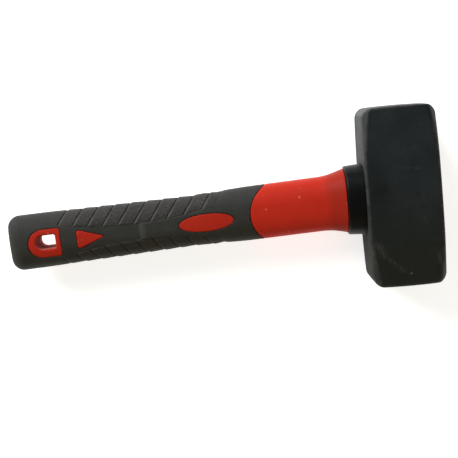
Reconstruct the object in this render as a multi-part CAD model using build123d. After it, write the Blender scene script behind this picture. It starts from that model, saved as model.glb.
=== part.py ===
from build123d import *
import math
import os

# Club hammer, lying on one cheek. Millimetres, +Z up.
# +Y runs along the head from face to face, and the handle leaves the head towards -X.
# The origin is the middle of the lower cheek, under the axis of the eye.

os.makedirs("parts", exist_ok=True)

# ---------------------------------------------------------------- driving dimensions

# forged head
HEAD_LENGTH = 111.0         # striking face to striking face
HEAD_THICKNESS = 45.0       # cheek to cheek
HEAD_END_WIDTH = 45.0       # across the sides at a striking face
HEAD_MID_WIDTH = 46.4       # across the sides at the eye, where the head swells
CORNER_CUT = 4.4            # leg of the long corner facets at a striking face
CORNER_FADE_Y = 21.0        # distance from the middle where those facets run out
CORNER_RADIUS = 7.5         # rounding from a side into a striking face
CHEEK_BEVEL = 1.6           # bevel from a cheek into a striking face

# eye: it widens towards the far side, so that the hardened resin cannot pull back out
EYE_NEAR = (31.0, 20.0)     # Y and Z size where the handle enters
EYE_FAR = (34.0, 23.0)      # Y and Z size on the far side
RESIN_RECESS = 0.8          # resin and rod stop this far under the far side

# handle
HANDLE_CANT = 2.2           # degrees that the handle sits off square to the head, about Z
BUTT_X = -246.3             # butt end, measured from the eye's axis
ROD = (22.0, 13.0)          # Y and Z size of the glass-fibre rod
ROD_BUTT_X = -200.0         # the rod stops short of the hanging hole
SKIN = 2.8                  # thickness of the soft grip over the jacket

# outer sections of the handle: X, Y size, Z size, corner radius
SECTIONS = (
    (-48.0, 34.2, 26.8, 11.5),
    (-90.0, 33.8, 26.4, 11.0),
    (-136.0, 31.6, 25.8, 10.5),
    (-190.0, 33.0, 25.8, 10.5),
    (-250.0, 34.6, 26.4, 10.5),
)
FLARE_END = (-34.0, 40.4, 33.0, 14.0)       # the same at the collar, where the neck has flared out
FLARE_SPARE = 3.0                           # the flare runs on this far and is trimmed to the collar
STUB_END_X = -10.0                          # the stub runs on to here and is trimmed to the head
BUTT_PLAN_RADIUS = 10.0     # rounding of the butt seen along Z
BUTT_SIDE_RADIUS = 9.0      # rounding of the butt seen along Y
BUTT_CROWN_RADIUS = 90.0    # slow curve of the butt's end

# front edge of the grip: an arc that bulges towards the butt on both cheeks
GRIP_FRONT_X = -82.5
GRIP_ARC_RADIUS = 20.0
GRIP_ARC_CENTRE_X = -74.5

# windows in the grip that show the jacket; they sit a little below the handle's middle
WINDOW_Y = -1.3
OVAL_WINDOW = (-122.0, 34.5, 11.2)          # centre X, length, height
TRIANGLE_WINDOW = (-203.0, -186.4, 12.4)    # base X, tip X, base height
RING_WINDOW = (-233.2, -212.9, 17.8)        # rounded end X, flat end X, height
HOLE_Y = -0.5
HANGING_HOLE = (-228.3, -216.2, 8.5)        # rounded end X, flat end X, height
WINDOW_CORNER = 1.6

# shock collar under the head, square to the head's side
COLLAR_BUTT_X = -34.0
COLLAR_HEAD_SIZE = (44.4, 37.4)             # Y and Z size against the head
COLLAR_BUTT_SIZE = (43.0, 35.8)             # Y and Z size towards the butt
COLLAR_CORNER = 15.5
COLLAR_LIP = 0.8

HALF_THICKNESS = HEAD_THICKNESS / 2.0
THROUGH = 80.0                              # longer than any thickness that is cut


# ---------------------------------------------------------------- helpers

def section_at(x, shrink):
    """Outline of the handle at x, smaller by shrink all round, lying across X."""
    for (x0, *size0), (x1, *size1) in zip(SECTIONS, SECTIONS[1:]):
        if x1 <= x <= x0:
            part = (x - x0) / (x1 - x0)
            height, depth, corner = [a + (b - a) * part for a, b in zip(size0, size1)]
    outline = RectangleRounded(height - 2 * shrink, depth - 2 * shrink, corner - shrink)
    return Plane(origin=(x, 0, HALF_THICKNESS), x_dir=(0, 1, 0), z_dir=(1, 0, 0)) * outline


def handle_form(shrink, start, end):
    """Solid handle from start to end (both X), smaller by shrink all round."""
    inner = [x for x, *_ in SECTIONS if end < x < start]
    return loft([section_at(x, shrink) for x in (start, *inner, end)])


def through_z(outline):
    """Prism of an outline drawn in plan, right through the hammer along Z."""
    return extrude(Pos(0, 0, HALF_THICKNESS) * outline, amount=THROUGH / 2, both=True)


def neck_stub():
    """Thin end of the neck, which runs through the collar."""
    root_x = SECTIONS[0][0]
    return extrude(section_at(root_x, 0.0), amount=STUB_END_X - root_x)


def neck_flare():
    """Straight flare from the neck to the collar."""
    flare_x, height, depth, corner = FLARE_END
    plane = Plane(origin=(flare_x, 0, HALF_THICKNESS), x_dir=(0, 1, 0), z_dir=(1, 0, 0))
    wide = plane * RectangleRounded(height, depth, corner)
    flare = loft([section_at(SECTIONS[0][0], 0.0), wide], ruled=True)
    return flare + extrude(wide, amount=FLARE_SPARE)


def butt_end(shrink):
    """Everything on the head's side of the rounded butt, smaller by shrink."""
    end = BUTT_X + shrink
    length = 300.0
    wide = SECTIONS[-1][1] - 2 * shrink
    plan = Pos(end + length / 2, 0) * RectangleRounded(length, wide, BUTT_PLAN_RADIUS - shrink)
    crown = Pos(end + BUTT_CROWN_RADIUS, 0) * Circle(BUTT_CROWN_RADIUS)
    crown += Pos(end + BUTT_CROWN_RADIUS + length / 2, 0) * Rectangle(length, 2 * BUTT_CROWN_RADIUS)
    deep = SECTIONS[-1][2] - 2 * shrink
    side = RectangleRounded(length, deep, BUTT_SIDE_RADIUS - shrink)
    side = extrude(Plane.XZ * side, amount=THROUGH / 2, both=True)
    side = Pos(end + length / 2, 0, HALF_THICKNESS) * side
    return through_z(plan) & through_z(crown) & side


def rounded_d(left, right, height):
    """Plan outline, half round towards the butt and flat towards the head."""
    radius = height / 2
    outline = Pos(left + radius, 0) * Circle(radius)
    outline += Pos((left + radius + right) / 2, 0) * Rectangle(right - left - radius, height)
    corners = outline.vertices().filter_by(lambda v: v.X > right - 0.01)
    return fillet(corners, WINDOW_CORNER)


def eye_form():
    """Solid that fills the eye, a little longer than the head is wide."""
    half = HEAD_MID_WIDTH / 2 + 1.0
    near = Plane(origin=(-half, 0, HALF_THICKNESS), x_dir=(0, 1, 0), z_dir=(1, 0, 0))
    far = Plane(origin=(half, 0, HALF_THICKNESS), x_dir=(0, 1, 0), z_dir=(1, 0, 0))
    near_oval = near * Ellipse(EYE_NEAR[0] / 2, EYE_NEAR[1] / 2)
    far_oval = far * Ellipse(EYE_FAR[0] / 2, EYE_FAR[1] / 2)
    return loft([near_oval, far_oval])


def canted(shape):
    """Swing a handle piece about the eye's axis to the angle it is bonded at."""
    return Rot(0, 0, HANDLE_CANT) * shape


# ---------------------------------------------------------------- sub-parts

def make_head_block():
    """Forged head before the eye is punched."""
    end = HEAD_LENGTH / 2
    half_end = HEAD_END_WIDTH / 2
    half_mid = HEAD_MID_WIDTH / 2
    outline = make_face(
        Line((-half_end, end), (half_end, end))
        + ThreePointArc((half_end, end), (half_mid, 0), (half_end, -end))
        + Line((half_end, -end), (-half_end, -end))
        + ThreePointArc((-half_end, -end), (-half_mid, 0), (-half_end, end))
    )
    block = extrude(fillet(outline.vertices(), CORNER_RADIUS), amount=HEAD_THICKNESS)
    side_view = chamfer(Rectangle(HEAD_LENGTH, HEAD_THICKNESS).vertices(), CHEEK_BEVEL)
    block &= Pos(0, 0, HALF_THICKNESS) * extrude(Plane.YZ * side_view, amount=THROUGH / 2, both=True)
    for side_x in (-1, 1):
        for side_y in (-1, 1):
            for side_z in (-1, 1):
                block -= corner_cutter(side_x, side_y, side_z)
    return block


def corner_cutter(side_x, side_y, side_z):
    """Block whose face is one of the sloping facets at a corner of the head."""
    end = HEAD_LENGTH / 2
    on_cheek = Vector(side_x * (HEAD_END_WIDTH / 2 - CORNER_CUT), side_y * end, side_z * HALF_THICKNESS)
    on_side = Vector(side_x * HEAD_END_WIDTH / 2, side_y * end, side_z * (HALF_THICKNESS - CORNER_CUT))
    run_out = Vector(side_x * HEAD_MID_WIDTH / 2, side_y * CORNER_FADE_Y, side_z * HALF_THICKNESS)
    normal = (on_side - on_cheek).cross(run_out - on_cheek).normalized()
    if normal.X * side_x < 0:
        normal = normal * -1
    facet = Plane(origin=(on_cheek + on_side) * 0.5, z_dir=normal)
    cutter = facet * Pos(0, 0, THROUGH / 2) * Box(3 * HEAD_LENGTH, 3 * HEAD_LENGTH, THROUGH)
    return Pos(0, 0, HALF_THICKNESS) * cutter


def make_head(block, eye):
    return block - eye


def past_the_bond():
    """Space on the far side, past the face where rod and resin are both cut off square."""
    length = 60.0
    middle = HEAD_MID_WIDTH / 2 - RESIN_RECESS + length / 2
    return Pos(middle, 0, HALF_THICKNESS) * Box(length, length, length)


def make_rod():
    start = HEAD_MID_WIDTH / 2
    plane = Plane(origin=(start, 0, HALF_THICKNESS), x_dir=(0, 1, 0), z_dir=(-1, 0, 0))
    rod = canted(extrude(plane * SlotOverall(*ROD), amount=start - ROD_BUTT_X))
    return rod - past_the_bond()


def make_resin(block, eye, rod):
    """Hardened resin round the rod, recessed a little on the far side."""
    return (eye & block) - past_the_bond() - rod


def window_pads():
    """Prisms of the jacket that stand up through the grip's windows."""
    oval_x, oval_length, oval_height = OVAL_WINDOW
    base_x, tip_x, base_height = TRIANGLE_WINDOW
    oval = Pos(oval_x, 0) * Ellipse(oval_length / 2, oval_height / 2)
    triangle = make_face(
        Polyline((base_x, base_height / 2), (tip_x, 0), (base_x, -base_height / 2), close=True)
    )
    triangle = fillet(triangle.vertices(), WINDOW_CORNER)
    return [through_z(Pos(0, WINDOW_Y) * plan) for plan in (oval, triangle, rounded_d(*RING_WINDOW))]


def make_neck_region():
    """Space in which the jacket shows round the whole handle, up to the grip's front edge."""
    length = 120.0
    box = Pos(GRIP_FRONT_X + length / 2, 0, HALF_THICKNESS) * Box(length, THROUGH, THROUGH)
    bulge = through_z(Pos(GRIP_ARC_CENTRE_X, WINDOW_Y) * Circle(GRIP_ARC_RADIUS))
    return box + bulge


def make_jacket_form(outer):
    """Jacket before the rod and the hanging hole are taken out: core, neck and window pads."""
    core_end = SECTIONS[-1][0]
    core = handle_form(SKIN, GRIP_FRONT_X + 5.0, core_end) & butt_end(SKIN)
    form = (outer & make_neck_region()) + core
    for pad in window_pads():
        form += outer & pad
    return form


def make_jacket(form, block, rod, hole, collar):
    return canted(form - hole) - block - rod - collar


def make_grip(outer, form, hole):
    butt_side = Pos(GRIP_FRONT_X - THROUGH * 2, 0, HALF_THICKNESS)
    grip = outer & butt_side * Box(THROUGH * 4, THROUGH, THROUGH)
    return canted(grip - form - hole)


def make_collar(stub, block):
    """Ring between the head and the neck, with a small lip towards the butt."""
    head_x = -HEAD_MID_WIDTH / 2 + 3.0
    middle_y = (COLLAR_BUTT_X - HEAD_MID_WIDTH / 2) / 2 * math.tan(math.radians(HANDLE_CANT))
    at_head = Plane(origin=(head_x, middle_y, HALF_THICKNESS), x_dir=(0, 1, 0), z_dir=(1, 0, 0))
    at_butt = Plane(origin=(COLLAR_BUTT_X, middle_y, HALF_THICKNESS), x_dir=(0, 1, 0), z_dir=(1, 0, 0))
    ring = loft([
        at_butt * RectangleRounded(*COLLAR_BUTT_SIZE, COLLAR_CORNER),
        at_head * RectangleRounded(*COLLAR_HEAD_SIZE, COLLAR_CORNER),
    ])
    ring = chamfer(ring.faces().sort_by(Axis.X)[0].edges(), COLLAR_LIP)
    return ring - canted(stub) - block


# ---------------------------------------------------------------- build and write

head_block = make_head_block()
eye_space = eye_form()
rod_solid = make_rod()
handle_outer = handle_form(0.0, SECTIONS[0][0], SECTIONS[-1][0]) & butt_end(0.0)
handle_outer += neck_flare() + neck_stub()
hanging_hole = through_z(Pos(0, HOLE_Y) * rounded_d(*HANGING_HOLE))
jacket_form = make_jacket_form(handle_outer)

collar_solid = make_collar(neck_stub(), head_block)

parts = {
    "head": make_head(head_block, eye_space),
    "eye_resin": make_resin(head_block, eye_space, rod_solid),
    "core_rod": rod_solid,
    "jacket": make_jacket(jacket_form, head_block, rod_solid, hanging_hole, collar_solid),
    "grip": make_grip(handle_outer, jacket_form, hanging_hole),
    "collar": collar_solid,
}

for name, solid in parts.items():
    export_step(solid, f"parts/{name}.step")
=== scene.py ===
import math

import bpy
import numpy as np
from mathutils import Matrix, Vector


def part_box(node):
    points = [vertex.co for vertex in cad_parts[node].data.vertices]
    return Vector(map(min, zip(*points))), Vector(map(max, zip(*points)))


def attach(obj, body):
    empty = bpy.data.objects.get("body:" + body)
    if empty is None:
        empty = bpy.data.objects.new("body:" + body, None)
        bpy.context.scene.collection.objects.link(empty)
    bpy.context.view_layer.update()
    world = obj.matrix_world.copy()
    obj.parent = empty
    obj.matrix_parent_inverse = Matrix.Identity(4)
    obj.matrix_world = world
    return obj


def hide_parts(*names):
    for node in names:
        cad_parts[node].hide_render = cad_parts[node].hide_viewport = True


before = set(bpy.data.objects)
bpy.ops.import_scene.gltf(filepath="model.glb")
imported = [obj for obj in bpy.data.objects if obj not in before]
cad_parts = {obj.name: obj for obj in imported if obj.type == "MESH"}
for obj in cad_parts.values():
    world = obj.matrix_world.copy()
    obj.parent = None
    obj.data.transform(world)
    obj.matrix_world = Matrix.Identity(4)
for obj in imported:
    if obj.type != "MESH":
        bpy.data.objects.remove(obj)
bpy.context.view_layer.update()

# Club hammer. The moulded and forged pieces are described by distance fields (mm, negative inside), each in
# its own frame: the head in the row frame, the handle along its own axis, which is canted to the head.
# A field becomes a mesh of quads whose points and normals are pulled onto the field itself.

MM = 0.001
head_low, head_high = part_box("head")
HALF_LENGTH = (head_high.y - head_low.y) / 2 / MM
HALF_THICK = (head_high.z - head_low.z) / 2 / MM
HALF_WIDE = (head_high.x - head_low.x) / 2 / MM
SIDE_SWELL = 0.7                    # how far each side stands out more at the eye than at a face
FACE_CROWN = (800.0, 2400.0)        # crown of a striking face: x and z squared, over these
PLAN_ROUNDING = 6.2                 # from a side into a striking face
CHEEK_ROUNDING = 1.6                # from a cheek into a side or a face
FACET_LEG = 4.5                     # leg of a corner facet at a striking face
FACET_START_Y = 18.0                # distance from the middle where the facets start
FACET_ROUNDING = 0.9
EYE_HALF = (15.5, 10.0)             # along Y and Z, where the handle enters
EYE_WIDENING = 1.5                  # how much both grow towards the far side

HANDLE_CANT = math.radians(2.2)
BUTT_X = -246.3
COLLAR_BUTT_X = -34.2
COLLAR_HALF = (21.4, 17.8)          # along Y and Z, at the collar's butt side
COLLAR_BORE_HALF = (17.15, 13.45)
STUB_HALF = (17.1, 13.4)            # of the round stub that carries the collar


# ---------------------------------------------------------------- distance fields

def smooth_step(low, high, value):
    t = np.clip((value - low) / (high - low), 0.0, 1.0)
    return t * t * (3.0 - 2.0 * t)


def both(a, b, radius=0.0):
    """Common part of two fields, with the edge between them rounded."""
    if radius <= 0.0:
        return np.maximum(a, b)
    inner = np.minimum(np.maximum(a, b), -radius)
    return inner + np.hypot(np.maximum(a + radius, 0.0), np.maximum(b + radius, 0.0))


def profile(stations, blur=1.0, step=0.25):
    """Smooth curve through (x, value) stations, looked up by x; blur is how far the smoothing reaches."""
    grid = np.arange(-270.0, 20.0, step)
    xs, values = zip(*stations)
    line = np.interp(grid, xs, values)
    reach = int(blur / step)
    kernel = np.exp(-0.5 * (np.arange(-reach * 3, reach * 3 + 1) / reach) ** 2)
    padded = np.pad(line, reach * 3, mode="edge")
    smooth = np.convolve(padded, kernel / kernel.sum(), mode="valid")
    return lambda x: np.interp(x, grid, smooth)


def oval_tube(y, z, half_height, half_depth, power=2.5):
    """Distance to a rounded section that is half_height by half_depth."""
    a = np.abs(y) / half_height
    b = np.abs(z) / half_depth
    g = np.maximum((a ** power + b ** power) ** (1.0 / power), 1e-3)
    slope_y = (a / g) ** (power - 1.0) / half_height
    slope_z = (b / g) ** (power - 1.0) / half_depth
    return (g - 1.0) / np.maximum(np.hypot(slope_y, slope_z), 1e-3)


def plan_slot(x, y, left, right, height, corner=1.6):
    """Plan outline that is half round towards the butt and flat towards the head."""
    radius = height / 2
    middle = left + radius
    rounded = np.hypot(x - middle, y) - radius
    square = both(np.abs(y) - radius, x - right, corner)
    return np.where(x < middle, rounded, square)


def plan_oval(x, y, middle, length, height):
    a = (x - middle) / (length / 2)
    b = y / (height / 2)
    g = np.maximum(np.hypot(a, b), 1e-3)
    slope = np.hypot(a / g / (length / 2), b / g / (height / 2))
    return (g - 1.0) / np.maximum(slope, 1e-3)


def plan_triangle(x, y, base, tip, height, corner=2.2):
    """Triangle that points to the head, with rounded corners."""
    angle = math.atan2(height / 2, tip - base)
    upper = (x - tip) * math.sin(angle) + y * math.cos(angle)
    lower = (x - tip) * math.sin(angle) - y * math.cos(angle)
    sides = both(upper, lower, 1.3)
    return both(sides, base - x, corner)


# handle sizes, in millimetres along and across the handle's own axis
half_height = profile([
    (-260, 17.2), (-236, 17.2), (-222, 17.1), (-208, 16.85), (-190, 16.6), (-168, 16.3), (-145, 15.95),
    (-133, 15.75), (-127, 15.8), (-122, 16.3), (-117, 16.2), (-113.5, 15.7), (-110, 16.3), (-105, 16.55),
    (-98, 16.8), (-88, 16.9), (-65, 16.95), (-49, 17.0), (-44, 17.5), (-40.5, 18.3), (-37, 19.25),
    (-34, 20.15), (-20, 20.2)])
half_depth = profile([
    (-260, 13.1), (-222, 13.05), (-190, 12.8), (-136, 12.8), (-90, 13.1), (-49, 13.3), (-44, 13.8),
    (-40.5, 14.55), (-37, 15.5), (-34, 16.4), (-20, 16.4)])

SKIN = 2.8                          # thickness of the grip over the jacket
HAIRLINE = 0.10                     # parting line between the grip and what shows through it
PAD_DROP = 0.22                     # how far the pads in the windows lie under the grip
BUTT_ROUND = 6.5
BUTT_CROWN = (360.0, 56.0)          # crown of the butt: y and z squared, over these
GRIP_FRONT_X = -82.5                # the grip ends here on the thin sides, and in an arc on the broad ones
GRIP_ARC_RADIUS = 20.0
GRIP_ARC_X = -74.5
ROD_HALF = (11.0, 6.5)
ROD_END_X = -200.0

# worn streaks on the upper cheek: both ends, reach and strength; and one chip in the paint: place and reach
SCUFFS = (
    (-19.5, -27.5, -15.5, -35.0, 2.2, 0.42),
    (-12.5, -37.5, -3.2, -46.0, 0.8, 0.45),
    (-4.0, 18.5, 13.0, 16.0, 1.0, 0.34),
    (9.5, -12.0, 12.0, -16.5, 0.8, 0.38),
    (18.0, -36.0, 18.5, -41.0, 1.4, 0.40),
)
CHIP = (0.3, -47.2, 0.45)

# dark stains on the upper cheek: place and reach
STAINS = (
    (-11.7, 5.2, 2.4),
    (7.9, 0.9, 1.3),
    (10.6, -7.0, 1.2),
    (-14.9, -7.7, 1.6),
    (15.9, -24.1, 1.4),
    (16.2, -30.8, 1.4),
)

# finger grooves, the blocks between them and the smooth band between the two rows of blocks
GROOVE_COUNT = 10
GROOVE_TOP_X = -208.9               # where the first groove reaches the outline
GROOVE_TOP_Y = 16.8
GROOVE_PITCH = 10.05
GROOVE_SLOPE = math.radians(54.0)
GROOVE_STEEP = 0.5                  # width of a groove's side next to the butt
GROOVE_GENTLE = 1.15                # width of its side next to the head
GROOVE_DEPTH = 0.60
GROOVE_LIP = 0.75                   # from a groove's floor to the block edge that wears and carries a painted highlight
SHINGLE = 0.42                      # how much each block slopes from one groove to the next
BLOCK_RISE = 0.46                   # how far the blocks stand over the band
BAND_Y = -1.45
BAND_HALF = 5.15                    # half height of the band where it is narrowest
BAND_WAIST_X = -160.0
POD_STEP = (-164.4, -162.4)         # the band steps up here, to the pod round the oval window

# windows in the grip: middle, length and height; base, tip and height; round end, flat end and height
WINDOW_Y = -1.3
OVAL_WINDOW = (-122.0, 34.5, 11.2)
TRIANGLE_WINDOW = (-203.0, -185.0, 12.6)
RING_WINDOW = (-233.2, -212.9, 17.8)
HOLE_Y = -0.5
HANGING_HOLE = (-228.3, -216.2, 8.5)


def outer_form(x, y, z, grow=0.0):
    """The whole handle before the grooves are cut; grow moves its surface outwards."""
    tube = oval_tube(y, z, half_height(x) + grow, half_depth(x) + grow)
    end = BUTT_X - grow
    butt = end + y ** 2 / BUTT_CROWN[0] + z ** 2 / BUTT_CROWN[1] - x
    return both(tube, np.maximum(butt, -50.0), BUTT_ROUND + grow)


def windows(x, y, shrink=0.0):
    """Plan distance to the oval, the triangle and the ring, whichever is nearest."""
    y = y - WINDOW_Y
    oval = plan_oval(x, y, *OVAL_WINDOW)
    triangle = plan_triangle(x, y, *TRIANGLE_WINDOW)
    ring = plan_slot(x, y, *RING_WINDOW)
    return np.minimum(np.minimum(oval, triangle), ring) + shrink


def hanging_hole(x, y):
    return plan_slot(x, y - HOLE_Y, *HANGING_HOLE, 1.3)


def neck_region(x, y):
    """Negative where the jacket shows round the whole handle."""
    return np.minimum(GRIP_FRONT_X - x, np.hypot(x - GRIP_ARC_X, y - WINDOW_Y) - GRIP_ARC_RADIUS)


def band_edge(x):
    """Half height of the smooth band between the two rows of blocks."""
    away = x - BAND_WAIST_X
    return BAND_HALF + np.where(away < 0.0, 0.0018, 0.0025) * away ** 2


def block_rows(x, y):
    """Where a point lies in the rows of blocks: pitches past the first groove, and how far into a row."""
    up = np.abs(y - BAND_Y)
    turns = (x + (GROOVE_TOP_Y - up) / math.tan(GROOVE_SLOPE) - GROOVE_TOP_X) / GROOVE_PITCH
    edge = band_edge(np.clip(x, GROOVE_TOP_X - 6.0, -120.0))
    return turns, up - edge


def from_groove(turns):
    """Distance from the nearest groove's floor, square to it, positive towards the head."""
    nearest = np.clip(np.round(turns), 0, GROOVE_COUNT - 1)
    return (turns - nearest) * GROOVE_PITCH * math.sin(GROOVE_SLOPE)


def groove_amount(turns, inward):
    """One on the floor of a groove, nought on the blocks; the side that faces the butt is the gentle one."""
    away = from_groove(turns)
    depth = np.clip(np.where(away < 0.0, 1.0 + away / GROOVE_STEEP, 1.0 - away / GROOVE_GENTLE), 0.0, 1.0)
    row = smooth_step(-0.6, 0.3, inward) * smooth_step(-0.6, 0.1, turns)
    return depth * row * (1.0 - smooth_step(9.3, 9.6, turns))


def worn_and_highlit_edges(turns, inward):
    """One along the block edges that face the butt, fading out away from the smooth band; used for wear and
    a painted highlight there.
    """
    line = np.exp(-((from_groove(turns) - GROOVE_LIP) / 0.38) ** 2)
    return line * smooth_step(0.0, 0.8, inward) * smooth_step(8.5, 4.5, inward)


def grip_relief(x, y):
    """How far the grip's surface lies under its outer form, in millimetres."""
    turns, inward = block_rows(x, y)
    last = GROOVE_COUNT - 1.0
    in_rows = smooth_step(-0.35, 0.35, inward)
    blocks = in_rows * smooth_step(-0.45, 0.35, turns) * (1.0 - smooth_step(last - 0.05, last + 0.05, turns))
    phase = np.clip(turns - np.floor(turns), 0.0, 1.0)
    shingle = SHINGLE * (phase - 0.2) * blocks
    pod = smooth_step(*POD_STEP, x)
    band = (1.0 - in_rows) * smooth_step(-214.0, -203.0, x) * (1.0 - pod)
    crease = 0.25 * np.exp(-((inward - 0.1) / 0.5) ** 2) * pod * blocks
    fold = 0.16 * np.exp(-((turns - last - 0.75) / 0.10) ** 2) * smooth_step(1.5, 4.0, inward)
    shelf = 0.10 * (1.0 - in_rows) * smooth_step(-158.0, -150.0, x) * smooth_step(-104.0, -112.0, x)
    deep = GROOVE_DEPTH * (1.0 - 0.25 * smooth_step(BAND_Y, BAND_Y - 6.0, y))
    return BLOCK_RISE * band + shingle + deep * groove_amount(turns, inward) + crease + fold + shelf


def grip_field(x, y, z):
    skin = outer_form(x, y, z) + grip_relief(x, y)
    core = outer_form(x, y, z, -SKIN) - 0.06
    shell = both(skin, -windows(x, y), 0.45)
    shell = both(shell, -neck_region(x, y), 0.35)
    return both(shell, -core)


def jacket_field(x, y, z):
    outer = outer_form(x, y, z)
    core = both(outer + SKIN, x - GRIP_FRONT_X - 4.0)
    neck = both(outer, neck_region(x, y) + HAIRLINE, 0.3)
    pads = both(outer + PAD_DROP, windows(x, y, HAIRLINE), 0.45)
    body = np.minimum(np.minimum(core, neck), pads)
    body = both(body, -hanging_hole(x, y), 1.2)
    rod = both(both(np.abs(y) - ROD_HALF[0], np.abs(z) - ROD_HALF[1], ROD_HALF[1]), ROD_END_X - x)
    body = both(body, -(rod - 0.05))
    head_x, _ = to_row(x, y)
    round_stub = np.maximum(COLLAR_BUTT_X - 0.08 - head_x, -oval_tube(y, z, *STUB_HALF))
    body = both(body, -round_stub, 0.35)
    return both(body, head_x + HALF_WIDE + 0.1)


def to_row(x, y):
    """From the handle's frame to the row frame, both in millimetres."""
    c, s = math.cos(HANDLE_CANT), math.sin(HANDLE_CANT)
    return c * x - s * y, s * x + c * y


def collar_field(x, y, z):
    """The collar stands square to the head, so this one is in the row frame."""
    middle_y = (COLLAR_BUTT_X - HALF_WIDE) / 2 * math.tan(HANDLE_CANT)
    along = np.clip((x - COLLAR_BUTT_X) / 11.0, 0.0, 1.0)
    tube = oval_tube(y - middle_y, z, COLLAR_HALF[0] + 0.75 * along, COLLAR_HALF[1] + 0.8 * along, 2.45)
    ring = both(tube, COLLAR_BUTT_X - x, 1.1)
    ring = both(ring, x + HALF_WIDE + 0.02, 0.4)
    c, s = math.cos(HANDLE_CANT), math.sin(HANDLE_CANT)
    hole = oval_tube(c * y - s * x, z, *COLLAR_BORE_HALF)
    return both(ring, -hole, 0.25)


def facet_leg(y):
    """Size of the corner facets, which run out towards the eye."""
    grown = np.clip((np.abs(y) - FACET_START_Y) / (HALF_LENGTH - FACET_START_Y), 0.0, 1.2)
    return FACET_LEG * grown ** 1.35


def half_width(y):
    """Half width of the head, which swells towards the eye."""
    return HALF_WIDE - SIDE_SWELL * (y / HALF_LENGTH) ** 2


def head_field(x, y, z):
    half = half_width(y)
    side = np.abs(x) - half
    cheek = np.abs(z) - HALF_THICK
    crowned = np.abs(y) - HALF_LENGTH + x ** 2 / FACE_CROWN[0] + z ** 2 / FACE_CROWN[1]
    plan = both(side, crowned, PLAN_ROUNDING)
    body = both(plan, cheek, CHEEK_ROUNDING)
    facet = (np.abs(x) + np.abs(z) - (half + HALF_THICK - facet_leg(y))) / math.sqrt(2)
    body = both(body, facet, FACET_ROUNDING)
    widening = EYE_WIDENING * (x + HALF_WIDE) / (2 * HALF_WIDE)
    eye = oval_tube(y, z, EYE_HALF[0] + widening, EYE_HALF[1] + widening, 2.0)
    return both(body, -eye, 0.6)


# ---------------------------------------------------------------- fields into meshes

def spans(*parts):
    """Grid coordinates from (start, stop, step) spans that follow each other."""
    pieces = [np.arange(a, b - step * 0.25, step) for a, b, step in parts]
    return np.concatenate(pieces + [[parts[-1][1]]])


def gradient(field, points, step=0.02):
    slopes = []
    for axis in range(3):
        ahead = points.copy()
        ahead[:, axis] += step
        behind = points.copy()
        behind[:, axis] -= step
        slopes.append((field(*ahead.T) - field(*behind.T)) / (2 * step))
    return np.stack(slopes, 1)


def cells_round(at, axis):
    """The four grid cells that share each edge along an axis."""
    sides = [k for k in range(3) if k != axis]
    cells = []
    for da in (0, 1):
        for db in (0, 1):
            cell = at.copy()
            cell[:, sides[0]] -= da
            cell[:, sides[1]] -= db
            cells.append(cell)
    return cells


def pull_onto(field, points, reach):
    """Move points along the field's slope onto its surface, no further than reach at a time."""
    for _ in range(4):
        slope = gradient(field, points)
        size = np.maximum((slope ** 2).sum(1), 1e-6)
        move = -(field(*points.T) / size)[:, None] * slope
        long = np.maximum(np.linalg.norm(move, axis=1) / reach, 1.0)
        points += move / long[:, None]


def surface_net(field, xs, ys, zs):
    """Quads round every grid edge that the field's surface crosses, pulled onto the surface."""
    grid = [c.astype(np.float64) for c in (xs, ys, zs)]
    values = np.empty((len(xs), len(ys), len(zs)))
    for start in range(0, len(xs), 40):
        part = slice(start, start + 40)
        values[part] = field(grid[0][part, None, None], grid[1][None, :, None], grid[2][None, None, :])
    inside = values < 0
    shape = np.array(values.shape) - 1
    total = np.zeros((*shape, 3))
    count = np.zeros(shape)
    edges = []
    for axis in range(3):
        lo = [slice(None)] * 3
        hi = [slice(None)] * 3
        lo[axis] = slice(None, -1)
        hi[axis] = slice(1, None)
        lo, hi = tuple(lo), tuple(hi)
        crossed = inside[lo] != inside[hi]
        at = np.argwhere(crossed)
        a = values[lo][crossed]
        b = values[hi][crossed]
        t = a / (a - b)
        where = np.stack([grid[k][at[:, k]] for k in range(3)], 1)
        where[:, axis] += t * (grid[axis][at[:, axis] + 1] - grid[axis][at[:, axis]])
        edges.append((axis, at, a < 0))
        for cell in cells_round(at, axis):
            keep = np.all((cell >= 0) & (cell < shape), axis=1)
            index = tuple(cell[keep].T)
            np.add.at(total, index, where[keep])
            np.add.at(count, index, 1)
    used = count > 0
    number = np.full(shape, -1)
    number[used] = np.arange(used.sum())
    points = total[used] / count[used][:, None]
    quads = []
    for axis, at, first_inside in edges:
        after, beside, below, before = (number[tuple(cell.T)] for cell in cells_round(at, axis))
        quad = np.stack([before, beside, after, below], 1)
        flip = first_inside if axis != 1 else ~first_inside
        quad[~flip] = quad[~flip][:, ::-1]
        quads.append(quad)
    pull_onto(field, points, 0.75 * min(np.diff(g).min() for g in grid))
    return points, np.concatenate(quads)


def turned(vectors, cant):
    """Vectors turned about Z by the cant."""
    x, y, z = vectors.T
    c, s = math.cos(cant), math.sin(cant)
    return np.stack([c * x - s * y, s * x + c * y, z], 1)


def placed(points, cant):
    """From a piece's own frame in millimetres to the row frame in metres."""
    return (turned(points, cant) + (0.0, 0.0, HALF_THICK)) * MM


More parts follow.
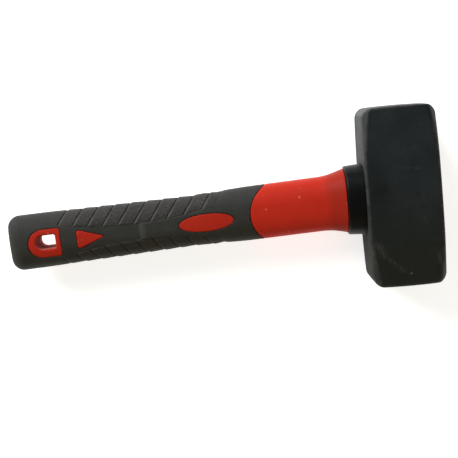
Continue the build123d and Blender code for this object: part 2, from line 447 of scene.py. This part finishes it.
def mesh_piece(name, field, xs, ys, zs, cant):
    """Smooth mesh of a field, with the field's own normals; the points come back in the piece's frame."""
    points, quads = surface_net(field, xs, ys, zs)
    mesh = bpy.data.meshes.new(name)
    mesh.vertices.add(len(points))
    mesh.vertices.foreach_set("co", placed(points, cant).ravel())
    mesh.loops.add(quads.size)
    mesh.loops.foreach_set("vertex_index", quads.ravel())
    mesh.polygons.add(len(quads))
    mesh.polygons.foreach_set("loop_start", np.arange(0, quads.size, 4))
    mesh.update(calc_edges=True)
    mesh.validate()
    mesh.polygons.foreach_set("use_smooth", np.ones(len(mesh.polygons), bool))
    slope = gradient(field, points)
    slope /= np.maximum(np.linalg.norm(slope, axis=1), 1e-9)[:, None]
    mesh.normals_split_custom_set_from_vertices(turned(slope, cant))
    piece = bpy.data.objects.new(name, mesh)
    bpy.context.scene.collection.objects.link(piece)
    print(name, len(points), "points", len(quads), "quads")
    return piece, points


def paint(piece, name, values):
    """Store one number per point of a piece for its material to read."""
    layer = piece.data.attributes.new(name, "FLOAT", "POINT")
    layer.data.foreach_set("value", values.astype(np.float32))


# ---------------------------------------------------------------- materials

def new_material(name):
    material = bpy.data.materials.new(name)
    material.use_nodes = True
    tree = material.node_tree
    return material, tree, tree.nodes["Principled BSDF"]


def noise(tree, scale, detail=4.0, rough=0.55, stretch=None):
    """Noise on the piece's own coordinates; scale is in cycles per metre."""
    where = tree.nodes.new("ShaderNodeTexCoord")
    node = tree.nodes.new("ShaderNodeTexNoise")
    node.inputs["Scale"].default_value = scale
    node.inputs["Detail"].default_value = detail
    node.inputs["Roughness"].default_value = rough
    source = where.outputs["Object"]
    if stretch:
        mapping = tree.nodes.new("ShaderNodeMapping")
        mapping.inputs["Scale"].default_value = stretch
        tree.links.new(source, mapping.inputs["Vector"])
        source = mapping.outputs["Vector"]
    tree.links.new(source, node.inputs["Vector"])
    return node.outputs["Fac"]


def ramp(tree, source, stops):
    """Colour or grey looked up by a socket's value, from (place, colour) stops."""
    node = tree.nodes.new("ShaderNodeValToRGB")
    elements = node.color_ramp.elements
    while len(elements) < len(stops):
        elements.new(0.5)
    for element, (place, colour) in zip(elements, stops):
        element.position = place
        value = colour if isinstance(colour, tuple) else (colour,) * 3
        element.color = (*value, 1.0)
    tree.links.new(source, node.inputs["Fac"])
    return node.outputs["Color"]


def mix(tree, factor, a, b, blend="MIX"):
    """Colour that goes from a to b with the factor; each may be a socket, a number or a colour."""
    node = tree.nodes.new("ShaderNodeMix")
    node.data_type = "RGBA"
    node.blend_type = blend
    for socket, value in ((node.inputs["Factor"], factor), (node.inputs["A"], a), (node.inputs["B"], b)):
        if isinstance(value, bpy.types.NodeSocket):
            tree.links.new(value, socket)
        elif isinstance(value, tuple):
            socket.default_value = (*value, 1.0)
        else:
            socket.default_value = value
    return node.outputs["Result"]


def math_node(tree, operation, a, b=0.0):
    node = tree.nodes.new("ShaderNodeMath")
    node.operation = operation
    for socket, value in zip(node.inputs, (a, b)):
        if isinstance(value, bpy.types.NodeSocket):
            tree.links.new(value, socket)
        else:
            socket.default_value = value
    return node.outputs["Value"]


def bump(tree, height, distance, before=None):
    """Normal of a rough surface; distance is in metres, and before is a normal that it adds to."""
    node = tree.nodes.new("ShaderNodeBump")
    node.inputs["Strength"].default_value = 1.0
    node.inputs["Distance"].default_value = distance
    tree.links.new(height, node.inputs["Height"])
    if before:
        tree.links.new(before, node.inputs["Normal"])
    return node.outputs["Normal"]


def read(tree, name):
    """What paint() stored under a name."""
    node = tree.nodes.new("ShaderNodeAttribute")
    node.attribute_name = name
    return node.outputs["Fac"]


def make_paint_material():
    """Satin black paint over a forging: mottled, dusty, stained and scuffed, rubbed through along the edges,
    where the lighter wear also stands as a painted highlight; painted shade next to the collar, along the
    cheek rims and, olive, towards the bottom; a painted highlight on the upper facets.
    """
    material, tree, shader = new_material("painted_forging")
    cloudy = noise(tree, 60.0, 6.0, 0.62)
    pitted = noise(tree, 520.0, 6.0, 0.65)
    colour = ramp(tree, cloudy, [(0.32, (0.0086, 0.0134, 0.0158)), (0.70, (0.0140, 0.0186, 0.0206))])
    # olive painted shade, darker towards the bottom of the head
    colour = mix(tree, read(tree, "olive_shade_below"), colour, (0.0080, 0.0094, 0.0056))
    # painted shade next to the collar and along the cheek rims
    colour = mix(tree, read(tree, "painted_shade"), colour, (0.0030, 0.0040, 0.0038))
    # painted highlight: the corner facets lighter towards the top
    colour = mix(tree, read(tree, "rubbed_and_highlit"), colour, (0.0450, 0.0440, 0.0420))
    blotch = ramp(tree, noise(tree, 240.0, 5.0, 0.62), [(0.62, 0.0), (0.68, 0.60)])
    stained = ramp(tree, noise(tree, 480.0, 4.0, 0.6), [(0.42, 0.15), (0.56, 0.85)])
    stained = math_node(tree, "MULTIPLY", read(tree, "stain"), stained)
    blotch = math_node(tree, "MAXIMUM", blotch, stained)
    colour = mix(tree, blotch, colour, (0.0026, 0.0034, 0.0034))
    dust = ramp(tree, noise(tree, 1100.0, 2.0, 0.5), [(0.68, 0.0), (0.76, 1.0)])
    colour = mix(tree, math_node(tree, "MULTIPLY", dust, 0.22), colour, (0.075, 0.072, 0.064))
    # Edges: paint rubbed through to a lighter grey, which also serves as a painted highlight along them.
    rubbed_and_highlit = ramp(tree, noise(tree, 190.0, 6.0, 0.7), [(0.38, 0.0), (0.64, 1.0)])
    worn_and_highlit = math_node(tree, "MULTIPLY", read(tree, "edge"), rubbed_and_highlit)
    colour = mix(tree, math_node(tree, "MULTIPLY", worn_and_highlit, 0.40), colour, (0.085, 0.080, 0.072))
    streaks = noise(tree, 420.0, 5.0, 0.65, stretch=(1.0, 0.28, 1.0))
    streaks = ramp(tree, streaks, [(0.44, 0.0), (0.62, 1.0)])
    scuffed = math_node(tree, "MULTIPLY", read(tree, "scuff"), streaks)
    colour = mix(tree, scuffed, colour, (0.060, 0.058, 0.052))
    chipped = read(tree, "chip")
    colour = mix(tree, chipped, colour, (0.30, 0.29, 0.27))
    tree.links.new(colour, shader.inputs["Base Color"])
    gloss = ramp(tree, cloudy, [(0.30, 0.44), (0.72, 0.58)])
    tree.links.new(math_node(tree, "ADD", gloss, read(tree, "matt")), shader.inputs["Roughness"])
    shader.inputs["Specular IOR Level"].default_value = 0.32
    normal = bump(tree, noise(tree, 85.0, 4.0, 0.5), 0.00030)
    normal = bump(tree, pitted, 0.00012, normal)
    tree.links.new(normal, shader.inputs["Normal"])
    return material


def make_grip_material():
    """Soft dark grey rubber: spark texture on the blocks, smoother on the band, painted shade in the
    grooves, an olive painted shade on the lower row, and painted highlights on the ridge and the upper block
    edges.
    """
    material, tree, shader = new_material("grip_rubber")
    block = read(tree, "block")
    grain = noise(tree, 1200.0, 4.0, 0.65)
    cloudy = noise(tree, 70.0, 4.0, 0.55)
    base = ramp(tree, cloudy, [(0.3, (0.0305, 0.0275, 0.0240)), (0.75, (0.0415, 0.0376, 0.0336))])
    smooth = ramp(tree, cloudy, [(0.3, (0.0240, 0.0236, 0.0204)), (0.75, (0.0325, 0.0320, 0.0280))])
    colour = mix(tree, block, smooth, base)
    speckle = ramp(tree, grain, [(0.36, 0.36), (0.66, 1.68)])
    grainy = ramp(tree, block, [(0.0, 0.35), (1.0, 0.95)])
    colour = mix(tree, grainy, colour, speckle, "MULTIPLY")
    # olive painted shade on the lower row
    colour = mix(tree, read(tree, "olive_shade_below"), colour, (0.0200, 0.0180, 0.0075))
    # painted highlight on the ridge at the pod step and on the upper block edges
    colour = mix(tree, read(tree, "ridge_highlight"), colour, (0.066, 0.066, 0.058))
    # painted shade in the grooves
    groove_shade = ramp(tree, read(tree, "groove"), [(0.42, 0.0), (0.80, 0.92)])
    colour = mix(tree, groove_shade, colour, (0.006, 0.006, 0.005))
    tree.links.new(colour, shader.inputs["Base Color"])
    gloss = ramp(tree, grain, [(0.2, 0.60), (0.8, 0.80)])
    tree.links.new(gloss, shader.inputs["Roughness"])
    shader.inputs["Specular IOR Level"].default_value = 0.27
    normal = bump(tree, grain, 0.00010)
    normal = bump(tree, noise(tree, 260.0, 3.0, 0.5), 0.00010, normal)
    tree.links.new(normal, shader.inputs["Normal"])
    return material


def make_jacket_material():
    """Satin red polypropylene, faintly cloudy, with a few pale nicks, painted shade next to the collar and
    where it shows through the grip, and a greyer, duller wall in the hanging hole.
    """
    material, tree, shader = new_material("red_plastic")
    cloudy = noise(tree, 42.0, 5.0, 0.55)
    colour = ramp(tree, cloudy, [(0.3, (0.505, 0.0230, 0.0100)), (0.75, (0.565, 0.0290, 0.0138))])
    nick = ramp(tree, noise(tree, 360.0, 2.0, 0.4), [(0.715, 0.0), (0.75, 1.0)])
    colour = mix(tree, math_node(tree, "MULTIPLY", nick, 0.40), colour, (0.70, 0.22, 0.16))
    colour = mix(tree, read(tree, "shade"), colour, (0.220, 0.0160, 0.0075))
    # greyer, paler tint for the hanging hole's wall
    wall_tint = noise(tree, 700.0, 4.0, 0.6)
    wall_tint = ramp(tree, wall_tint, [(0.3, (0.380, 0.095, 0.074)), (0.7, (0.560, 0.145, 0.112))])
    colour = mix(tree, read(tree, "wall"), colour, wall_tint)
    tree.links.new(colour, shader.inputs["Base Color"])
    gloss = ramp(tree, noise(tree, 300.0, 4.0, 0.6), [(0.3, 0.44), (0.75, 0.56)])
    tree.links.new(mix(tree, read(tree, "wall"), gloss, (0.85, 0.85, 0.85)), shader.inputs["Roughness"])
    shader.inputs["Specular IOR Level"].default_value = 0.08
    normal = bump(tree, noise(tree, 800.0, 3.0, 0.5), 0.00005)
    normal = bump(tree, noise(tree, 60.0, 2.0, 0.5), 0.00022, normal)
    tree.links.new(normal, shader.inputs["Normal"])
    return material


def make_collar_material():
    """Satin black rubber with a faint moulded grain."""
    material, tree, shader = new_material("collar_rubber")
    cloudy = noise(tree, 80.0)
    colour = ramp(tree, cloudy, [(0.3, (0.0026, 0.0030, 0.0028)), (0.75, (0.0044, 0.0048, 0.0044))])
    tree.links.new(colour, shader.inputs["Base Color"])
    gloss = ramp(tree, noise(tree, 900.0, 3.0, 0.5), [(0.3, 0.34), (0.75, 0.44)])
    tree.links.new(gloss, shader.inputs["Roughness"])
    shader.inputs["Specular IOR Level"].default_value = 0.12
    tree.links.new(bump(tree, noise(tree, 1400.0, 3.0, 0.5), 0.00005), shader.inputs["Normal"])
    return material


def make_resin_material():
    """Hardened dark resin, glossy and a little uneven where it was poured."""
    material, tree, shader = new_material("eye_resin")
    colour = ramp(tree, noise(tree, 120.0), [(0.3, (0.040, 0.032, 0.020)), (0.75, (0.085, 0.070, 0.045))])
    tree.links.new(colour, shader.inputs["Base Color"])
    gloss = ramp(tree, noise(tree, 300.0), [(0.3, 0.22), (0.75, 0.42)])
    tree.links.new(gloss, shader.inputs["Roughness"])
    tree.links.new(bump(tree, noise(tree, 260.0, 3.0, 0.5), 0.0003), shader.inputs["Normal"])
    return material


def make_rod_material():
    """Pultruded glass fibre: pale strands along the rod, dots on the cut end."""
    material, tree, shader = new_material("glass_fibre")
    strands = noise(tree, 1500.0, 3.0, 0.6, stretch=(0.04, 1.0, 1.0))
    colour = ramp(tree, strands, [(0.35, (0.34, 0.28, 0.15)), (0.70, (0.66, 0.60, 0.42))])
    tree.links.new(colour, shader.inputs["Base Color"])
    gloss = ramp(tree, strands, [(0.3, 0.45), (0.75, 0.65)])
    tree.links.new(gloss, shader.inputs["Roughness"])
    tree.links.new(bump(tree, strands, 0.00008), shader.inputs["Normal"])
    return material


def make_floor_material():
    """Plain pale studio floor with a barely visible unevenness."""
    material, tree, shader = new_material("studio_floor")
    colour = ramp(tree, noise(tree, 3.0), [(0.3, (0.86, 0.86, 0.86)), (0.7, (0.89, 0.89, 0.89))])
    tree.links.new(colour, shader.inputs["Base Color"])
    shader.inputs["Roughness"].default_value = 0.85
    shader.inputs["Specular IOR Level"].default_value = 0.1
    shader.inputs["Emission Color"].default_value = (1.0, 1.0, 1.0, 1.0)
    shader.inputs["Emission Strength"].default_value = 0.74
    return material


def dress(piece, material):
    piece.data.materials.clear()
    piece.data.materials.append(material)


# ---------------------------------------------------------------- pieces

def spot(points, x, y, reach):
    """One at a place on the plan, fading out over its reach."""
    away = np.hypot(points[:, 0] - x, points[:, 1] - y)
    return np.exp(-(away / reach) ** 2)


def streak(points, x0, y0, x1, y1, reach):
    """One along a line on the plan, fading out over its reach."""
    along = np.array([x1 - x0, y1 - y0])
    part = ((points[:, 0] - x0) * along[0] + (points[:, 1] - y0) * along[1]) / (along @ along)
    part = np.clip(part, 0.0, 1.0)
    return spot(points, x0 + part * along[0], y0 + part * along[1], reach)


def paint_head(head, points):
    x, y, z = points.T
    # Where the surface bends sharply: rubbed-through paint, which also stands as a painted highlight along
    # the edges.
    bend = sum(head_field(*(points + offset).T) for offset in 1.2 * np.vstack([np.eye(3), -np.eye(3)])) / 6
    paint(head, "edge", np.clip(bend * 6.0 - 0.12, 0.0, 1.0))

    on_top = z > HALF_THICK - 0.5
    scuff = np.max([strength * streak(points, *line) for *line, strength in SCUFFS], axis=0)
    paint(head, "scuff", scuff * on_top)
    stain = np.max([spot(points, *place) for place in STAINS], axis=0)
    paint(head, "stain", stain * on_top)
    paint(head, "chip", 0.6 * spot(points, *CHIP) * on_top)

    past_side = np.abs(x) - half_width(y)
    flank = smooth_step(-0.6, -0.1, past_side)
    cheek = smooth_step(-0.6, -0.1, np.abs(z) - HALF_THICK)
    facet = (1.0 - flank) * (1.0 - cheek)
    low_end = smooth_step(50.0, -35.0, y)
    # olive painted shade, growing towards the bottom of the head (low Y)
    paint(head, "olive_shade_below", smooth_step(25.0, -50.0, y))
    # painted highlight on the corner facets, fading out towards the bottom
    paint(head, "rubbed_and_highlit", 0.45 * (1.0 - low_end) * facet)
    paint(head, "matt", (0.10 + 0.28 * low_end) * flank)

    # Painted shade: darker on the cheek next to the collar, and a dark line along the cheek's rims.
    near_eye = np.exp(-((x + 17.0) / 8.0) ** 2 - (y / 26.0) ** 2)
    side_rim = smooth_step(-2.8, -0.9, past_side + facet_leg(y))
    face_rim = smooth_step(-2.6, -1.0, y - HALF_LENGTH)
    near_cheek = smooth_step(-4.0, -1.5, np.abs(z) - HALF_THICK)
    rim = np.maximum(side_rim * cheek, face_rim * near_cheek)
    paint(head, "painted_shade", np.maximum(0.72 * near_eye * (1.0 - flank), 0.65 * rim))


def make_head():
    xs = spans((-24.2, 24.2, 0.7))
    ys = spans((-56.0, -48.0, 0.45), (-48.0, 48.0, 1.0), (48.0, 56.0, 0.45))
    zs = spans((-23.5, 23.5, 0.7))
    head, points = mesh_piece("head_forging", head_field, xs, ys, zs, 0.0)
    paint_head(head, points)
    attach(head, "root")
    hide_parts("head")
    dress(head, make_paint_material())


def paint_grip(grip, points):
    x, y = points[:, :2].T
    turns, inward = block_rows(x, y)
    ended = 1.0 - smooth_step(GROOVE_COUNT - 1.05, GROOVE_COUNT - 0.95, turns)
    blocks = smooth_step(-0.3, 0.3, inward) * smooth_step(-0.4, 0.2, turns) * ended
    paint(grip, "block", blocks)

    low_row = smooth_step(0.0, -6.0, y - BAND_Y)
    # olive painted shade over the lower row, stronger on the blocks
    paint(grip, "olive_shade_below", low_row * (0.46 + 0.26 * blocks))

    # Painted highlight: lighter on the ridge past the pod step, and along the upper row's block edges, where
    # the edges also wear.
    past = x - POD_STEP[0]
    ridge_highlight = smooth_step(0.4, 1.6, past) * smooth_step(6.0, 2.4, past) * smooth_step(0.0, -0.8, inward)
    worn_and_highlit = worn_and_highlit_edges(turns, inward) * (1.0 - low_row)
    paint(grip, "ridge_highlight", np.maximum(0.55 * ridge_highlight, 0.80 * worn_and_highlit))

    # Painted shade in the grooves: half as dark near the band on the upper row, darker and wider on the
    # lower row.
    depth = groove_amount(turns, inward)
    upper = depth * (0.50 + 0.50 * smooth_step(3.0, 7.0, inward))
    paint(grip, "groove", upper + (np.sqrt(depth) - upper) * low_row)


def make_grip():
    xs = spans((-248.0, -236.0, 0.8), (-236.0, -212.0, 0.6), (-212.0, -112.0, 0.46), (-112.0, -100.0, 0.6),
               (-100.0, -81.0, 0.7))
    ys = spans((-18.2, 18.2, 0.48))
    zs = spans((-14.2, 14.2, 1.05))
    grip, points = mesh_piece("grip_rubber", grip_field, xs, ys, zs, HANDLE_CANT)
    paint_grip(grip, points)
    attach(grip, "root")
    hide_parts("grip")
    dress(grip, make_grip_material())


def paint_jacket(jacket, points):
    x, y = points[:, :2].T
    paint(jacket, "wall", 1.0 - smooth_step(0.02, 0.30, hanging_hole(x, y)))
    at_flare = smooth_step(-50.0, -41.0, x)
    in_grip = smooth_step(-95.0, -98.0, x)
    paint(jacket, "shade", 0.55 * at_flare + 0.32 * in_grip)


def make_jacket():
    xs = spans((-246.0, -234.5, 1.2), (-234.5, -212.0, 0.45), (-212.0, -203.5, 1.2), (-203.5, -184.0, 0.5),
               (-184.0, -141.0, 1.6), (-141.0, -103.0, 0.6), (-103.0, -96.0, 1.2), (-96.0, -80.0, 0.5),
               (-80.0, -52.0, 1.2), (-52.0, -22.0, 0.8))
    ys = spans((-21.0, 21.0, 0.6))
    zs = spans((-17.2, 17.2, 0.6))
    jacket, points = mesh_piece("red_jacket", jacket_field, xs, ys, zs, HANDLE_CANT)
    paint_jacket(jacket, points)
    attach(jacket, "root")
    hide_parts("jacket")
    dress(jacket, make_jacket_material())


def make_collar():
    xs = spans((-35.0, -22.0, 0.4))
    ys = spans((-24.5, 22.5, 0.5))
    zs = spans((-19.6, 19.6, 0.5))
    collar, _ = mesh_piece("shock_collar", collar_field, xs, ys, zs, 0.0)
    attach(collar, "root")
    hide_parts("collar")
    dress(collar, make_collar_material())


def dress_inner_nodes():
    """Resin and rod keep their CAD shapes."""
    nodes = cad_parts
    dress(nodes["eye_resin"], make_resin_material())
    dress(nodes["core_rod"], make_rod_material())


# ---------------------------------------------------------------- stage, light and camera

def make_floor():
    bpy.ops.mesh.primitive_plane_add(size=8.0, location=(-0.1, 0.0, 0.0))
    floor = bpy.context.object
    floor.name = "studio_floor"
    floor.data.materials.append(make_floor_material())


def area_light(name, place, aim, size, power, colour=(1.0, 1.0, 1.0)):
    light = bpy.data.lights.new(name, "AREA")
    light.shape = "RECTANGLE"
    light.size, light.size_y = size
    light.energy = power
    light.color = colour
    lamp = bpy.data.objects.new(name, light)
    bpy.context.scene.collection.objects.link(lamp)
    lamp.location = place
    lamp.rotation_euler = (Vector(aim) - Vector(place)).to_track_quat("-Z", "Y").to_euler()


def make_lights():
    middle = (-0.11, 0.0, 0.02)
    area_light("key", (-1.30, 1.55, 1.30), middle, (1.5, 1.2), 62.0, (0.95, 0.98, 1.0))
    area_light("fill", (0.7, -1.6, 1.1), middle, (1.6, 1.2), 6.0, (1.0, 0.80, 0.45))
    world = bpy.data.worlds.new("studio")
    world.use_nodes = True
    tree = world.node_tree
    way = tree.nodes.new("ShaderNodeSeparateXYZ")
    tree.links.new(tree.nodes.new("ShaderNodeTexCoord").outputs["Generated"], way.inputs["Vector"])
    up = way.outputs["Z"]
    cool = ramp(tree, up, [(0.0, (0.42, 0.45, 0.47)), (0.3, (0.26, 0.29, 0.31)), (1.0, (0.12, 0.13, 0.13))])
    warm = ramp(tree, up, [(0.0, (0.40, 0.37, 0.30)), (0.3, (0.24, 0.21, 0.13)), (1.0, (0.12, 0.12, 0.11))])
    side = math_node(tree, "ADD", way.outputs["Y"], 0.5)
    tree.links.new(mix(tree, side, warm, cool), tree.nodes["Background"].inputs["Color"])
    tree.nodes["Background"].inputs["Strength"].default_value = 1.0
    bpy.context.scene.world = world


def make_camera():
    camera = bpy.data.cameras.new("camera")
    camera.sensor_width = 36.0
    camera.lens = 90.4
    camera.clip_start = 0.01
    holder = bpy.data.objects.new("camera", camera)
    bpy.context.scene.collection.objects.link(holder)
    holder.location = (-0.1043, 0.0668, 0.7410)
    holder.rotation_euler = [math.radians(a) for a in (-6.30, -0.24, -5.21)]
    bpy.context.scene.camera = holder


make_camera()
make_floor()
make_lights()
bpy.context.scene.view_settings.view_transform = "Standard"
make_head()
make_grip()
make_jacket()
make_collar()
dress_inner_nodes()
